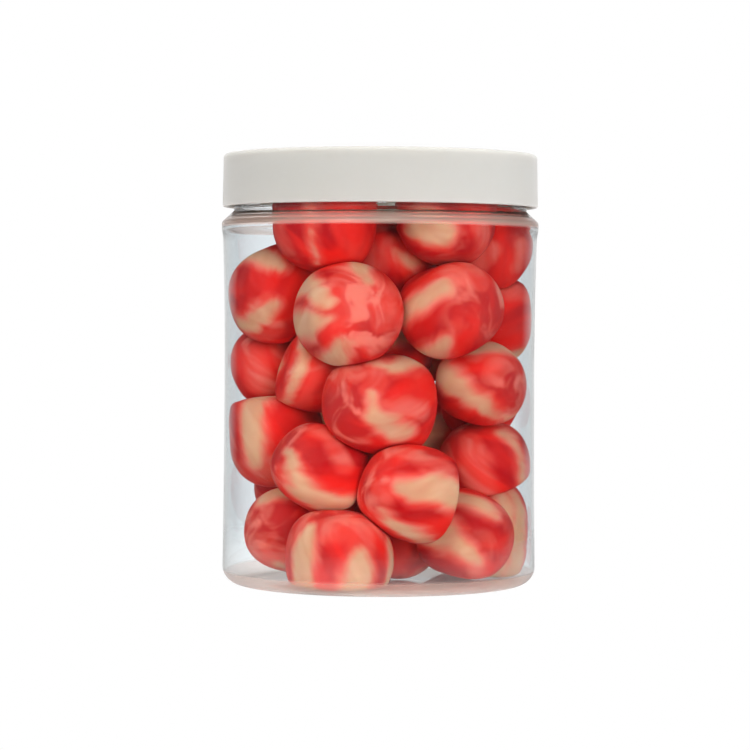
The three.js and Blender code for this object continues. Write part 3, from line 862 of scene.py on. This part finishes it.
def gummyHeap():
    gummies = []
    tiers = {"front": frontGummies, "second": secondGummies, "back": backGummies, "unseen": unseenGummies}
    for tier, rows in tiers.items():
        gummies += [{"cream": [], "pink": [], "melt": 1, **row, "tier": tier} for row in rows]
    for number, (gummy, place) in enumerate(zip(gummies, settle(gummies))):
        gummy["place"] = place
        gummy["seed"] = number
        gummy["axes"] = localAxes(unit(gummy["dome"]))
        outline = gummyOutline(gummy, *outlineSteps["mesh"])
        gummy["outline"] = outline - (0, gummy["tall"] * gummyForm["middleShare"])
        gummy["polar"] = np.arctan2(gummy["outline"][:, 0], gummy["outline"][:, 1])[::-1]
    print("heap settled", len(gummies), "gummies")
    spheres = {steps: cubeSphere(steps) for steps in set(meshSteps.values())}
    vertices = []
    faces = []
    fields = []
    swirls = []
    start = 0
    for gummy in gummies:
        local, quads = spheres[meshSteps[gummy["tier"]]]
        directions = local @ gummy["axes"]
        reach = skinReach(gummy, local)
        shaped = pressedReach(gummy, gummies, directions, reach)
        skin = local * reach[:, None]
        warp = [ripple(skin, swirl["warpSize"], swirl["warp"], gummy["seed"] * 7 + k) for k in (1, 2, 3)]
        warped = skin + np.stack(warp, 1)
        cream, pink = spareStrokes(gummy, np.random.default_rng(gummy["seed"] + 100))
        share = skin[:, 2] / gummy["tall"] + gummyForm["middleShare"]
        uneven = ripple(skin, swirl["meltSize"], swirl["meltUneven"], gummy["seed"])
        melt = np.clip((share - swirl["meltFrom"] + uneven) / swirl["meltOver"], 0, 1)
        vertices.append(gummy["place"] + directions * shaped[:, None])
        faces.append(quads + start)
        fields.append(np.stack([
            strokeField(gummy, gummy["cream"] + cream, warped),
            strokeField(gummy, gummy["pink"] + pink, warped),
            melt * gummy["melt"],
        ], 1))
        swirls.append(swirlPlace(gummy, skin, share))
        start += len(local)
    mesh = bpy.data.meshes.new("swirlGummies")
    mesh.from_pydata(np.concatenate(vertices) * mm, [], np.concatenate(faces).tolist())
    for column, name in enumerate(("cream", "pink", "melt")):
        attribute = mesh.attributes.new(name, "FLOAT", "POINT")
        attribute.data.foreach_set("value", np.concatenate(fields)[:, column].astype(np.float32))
    attribute = mesh.attributes.new("swirl", "FLOAT_VECTOR", "POINT")
    attribute.data.foreach_set("vector", np.concatenate(swirls).astype(np.float32).ravel())
    mesh.shade_smooth()
    mesh.validate()
    piece = bpy.data.objects.new("swirlGummies", mesh)
    scene.collection.objects.link(piece)
    return piece


swirlGummies = gummyHeap()
swirlGummies.data.materials.append(gummyRubber())
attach(swirlGummies, "root")
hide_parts("gummies")
print("gummies made", len(swirlGummies.data.polygons), "faces")


studio = {
    "floorRadius": 260,
    "floorDrop": 0.1,            # the floor is this far under the jar
    "floorSpacing": 20,
    "floorSegments": 96,
    "floorFade": (0.4, 0.98),    # shares of the radius between which the floor fades away
    "cameraPlace": (-1.2, -744, 73.8),
    "cameraFocalPixels": 2752,   # the photo's focal length, in pixels of its 750 pixel frame
    "framePixels": 750,
    "horizonPixels": 65,         # how far the horizon is above the middle of the frame
    "roll": 0.28,                # the photo leans clockwise by this many degrees
    "sensorWidth": 36,
    "clipStart": 10,
    "lampAim": (0, 0, 60),
    "bentStrength": 1.14,        # the backdrop where light reaches it through the jar and never bounced
}
lamps = {
    "overheadLamp": dict(place=(0, -250, 1100), size=900, watts=4.3, colour="#ffffff", throughWall=True),
    "keyLamp": dict(place=(-400, -1020, 600), size=600, watts=5.3, colour="#fffdf8", throughWall=True),
    "fillLamp": dict(place=(480, -1080, 120), size=600, watts=9.2, colour="#fbfdff", throughWall=False),
}
room = {
    # from the front to the back: where the strength starts and stops rising, both strengths, colour
    "around": (-0.5, 0.3, 0.05, 1.75, "#fcfcff"),
    "through": (0.65, 0.96, 0.08, 1.08, "#fbfcff"),
    "mirrored": (0.65, 0.97, 0.04, 0.8, "#ffffff"),
}


def paleFloor():
    # a pale matt studio table; the camera looks past it to the backdrop, as the photo is cut out
    material, tree = newMaterial("paleStudioFloor")
    place = addNode(tree, "ShaderNodeTexCoord").outputs["Object"]
    away = addNode(tree, "ShaderNodeVectorMath", {"operation": "LENGTH"}, {0: place})
    fadeFrom, fadeTo = (share * studio["floorRadius"] * mm for share in studio["floorFade"])
    fade = addNode(tree, "ShaderNodeMapRange", {
        "interpolation_type": "SMOOTHSTEP", 1: fadeFrom, 2: fadeTo,
    }, {0: away.outputs["Value"]})
    lightPath = addNode(tree, "ShaderNodeLightPath")
    hidden = addNode(tree, "ShaderNodeMath", {"operation": "MAXIMUM"}, {
        0: fade.outputs[0], 1: lightPath.outputs["Is Camera Ray"],
    })
    matt = addNode(tree, "ShaderNodeBsdfPrincipled", {
        "Base Color": linear("#dcdbdb"), "Roughness": 0.7,
        "Emission Color": linear("#ffffff"), "Emission Strength": 0.3,
    })
    clear = addNode(tree, "ShaderNodeBsdfTransparent")
    mixed = addNode(tree, "ShaderNodeMixShader", None, {
        0: hidden.outputs[0], 1: matt.outputs[0], 2: clear.outputs[0],
    })
    addNode(tree, "ShaderNodeOutputMaterial", None, {"Surface": mixed.outputs[0]})
    return material


floorPath = filletPath([
    (0, -studio["floorDrop"], 0),
    (studio["floorRadius"], -studio["floorDrop"], 0),
], spacing=studio["floorSpacing"])
studioFloor = lathe("studioFloor", floorPath, studio["floorSegments"])
studioFloor.data.materials.append(paleFloor())


def softLamp(name, place, size, watts, colour, throughWall):
    lamp = bpy.data.lights.new(name, "AREA")
    lamp.shape = "DISK"
    lamp.size = size * mm
    lamp.energy = watts
    lamp.color = linear(colour)[:3]
    holder = bpy.data.objects.new(name, lamp)
    holder.location = Vector(place) * mm
    toAim = Vector(studio["lampAim"]) - Vector(place)
    holder.rotation_euler = toAim.to_track_quat("-Z", "Y").to_euler()
    holder.visible_glossy = False   # no mirror image of a lamp lies over the gummies
    holder.visible_transmission = throughWall
    scene.collection.objects.link(holder)


for name, values in lamps.items():
    softLamp(name, **values)


def studioWorld():
    # the backdrop is pure white to the camera. What the jar's wall bends shows the white backdrop
    # too, and what it mirrors is mostly dark, so from the front the gummies show with little veil;
    # from high above and from behind a veil is left. Matt surfaces are lit more from behind
    world = bpy.data.worlds.new("whiteStudio")
    world.use_nodes = True
    tree = world.node_tree
    tree.nodes.clear()
    direction = addNode(tree, "ShaderNodeTexCoord").outputs["Generated"]
    depth = addNode(tree, "ShaderNodeSeparateXYZ", None, {0: direction}).outputs["Y"]
    shades = {}
    for name, (low, high, weak, strong, colour) in room.items():
        strength = addNode(tree, "ShaderNodeMapRange", {1: low, 2: high, 3: weak, 4: strong}, {0: depth})
        shades[name] = addNode(tree, "ShaderNodeBackground", {"Color": linear(colour)}, {
            "Strength": strength.outputs[0],
        })
    bent = addNode(tree, "ShaderNodeBackground", {
        "Color": linear("#fbfcff"), "Strength": studio["bentStrength"],
    })
    seen = addNode(tree, "ShaderNodeBackground", {"Color": linear("#ffffff"), "Strength": 1.0})
    lightPath = addNode(tree, "ShaderNodeLightPath")
    reflected = addNode(tree, "ShaderNodeMath", {"operation": "MINIMUM", 1: 1.0}, {
        0: lightPath.outputs["Glossy Depth"],
    })
    turned = addNode(tree, "ShaderNodeMath", {"operation": "ADD"}, {
        0: lightPath.outputs["Glossy Depth"], 1: lightPath.outputs["Diffuse Depth"],
    })
    onlyBent = addNode(tree, "ShaderNodeMath", {"operation": "LESS_THAN", 1: 0.5}, {0: turned.outputs[0]})
    mixed = shades["around"]
    for share, shade in (
            (lightPath.outputs["Is Transmission Ray"], shades["through"]),
            (reflected.outputs[0], shades["mirrored"]),
            (onlyBent.outputs[0], bent),
            (lightPath.outputs["Is Camera Ray"], seen)):
        mixed = addNode(tree, "ShaderNodeMixShader", None, {
            0: share, 1: mixed.outputs[0], 2: shade.outputs[0],
        })
    addNode(tree, "ShaderNodeOutputWorld", None, {"Surface": mixed.outputs[0]})
    return world


scene.world = studioWorld()
scene.view_settings.view_transform = "Standard"

lens = bpy.data.cameras.new("photoCamera")
lens.sensor_width = studio["sensorWidth"]
lens.lens = lens.sensor_width * studio["cameraFocalPixels"] / studio["framePixels"]
lens.clip_start = studio["clipStart"] * mm
camera = bpy.data.objects.new("photoCamera", lens)
camera.location = [v * mm for v in studio["cameraPlace"]]
pitch = math.atan(studio["horizonPixels"] / studio["cameraFocalPixels"])
camera.rotation_mode = "XYZ"
camera.rotation_euler = (math.pi / 2 - pitch, 0, 0)
camera.rotation_euler.rotate_axis("Z", math.radians(studio["roll"]))
scene.collection.objects.link(camera)
scene.camera = camera
print("studio made")
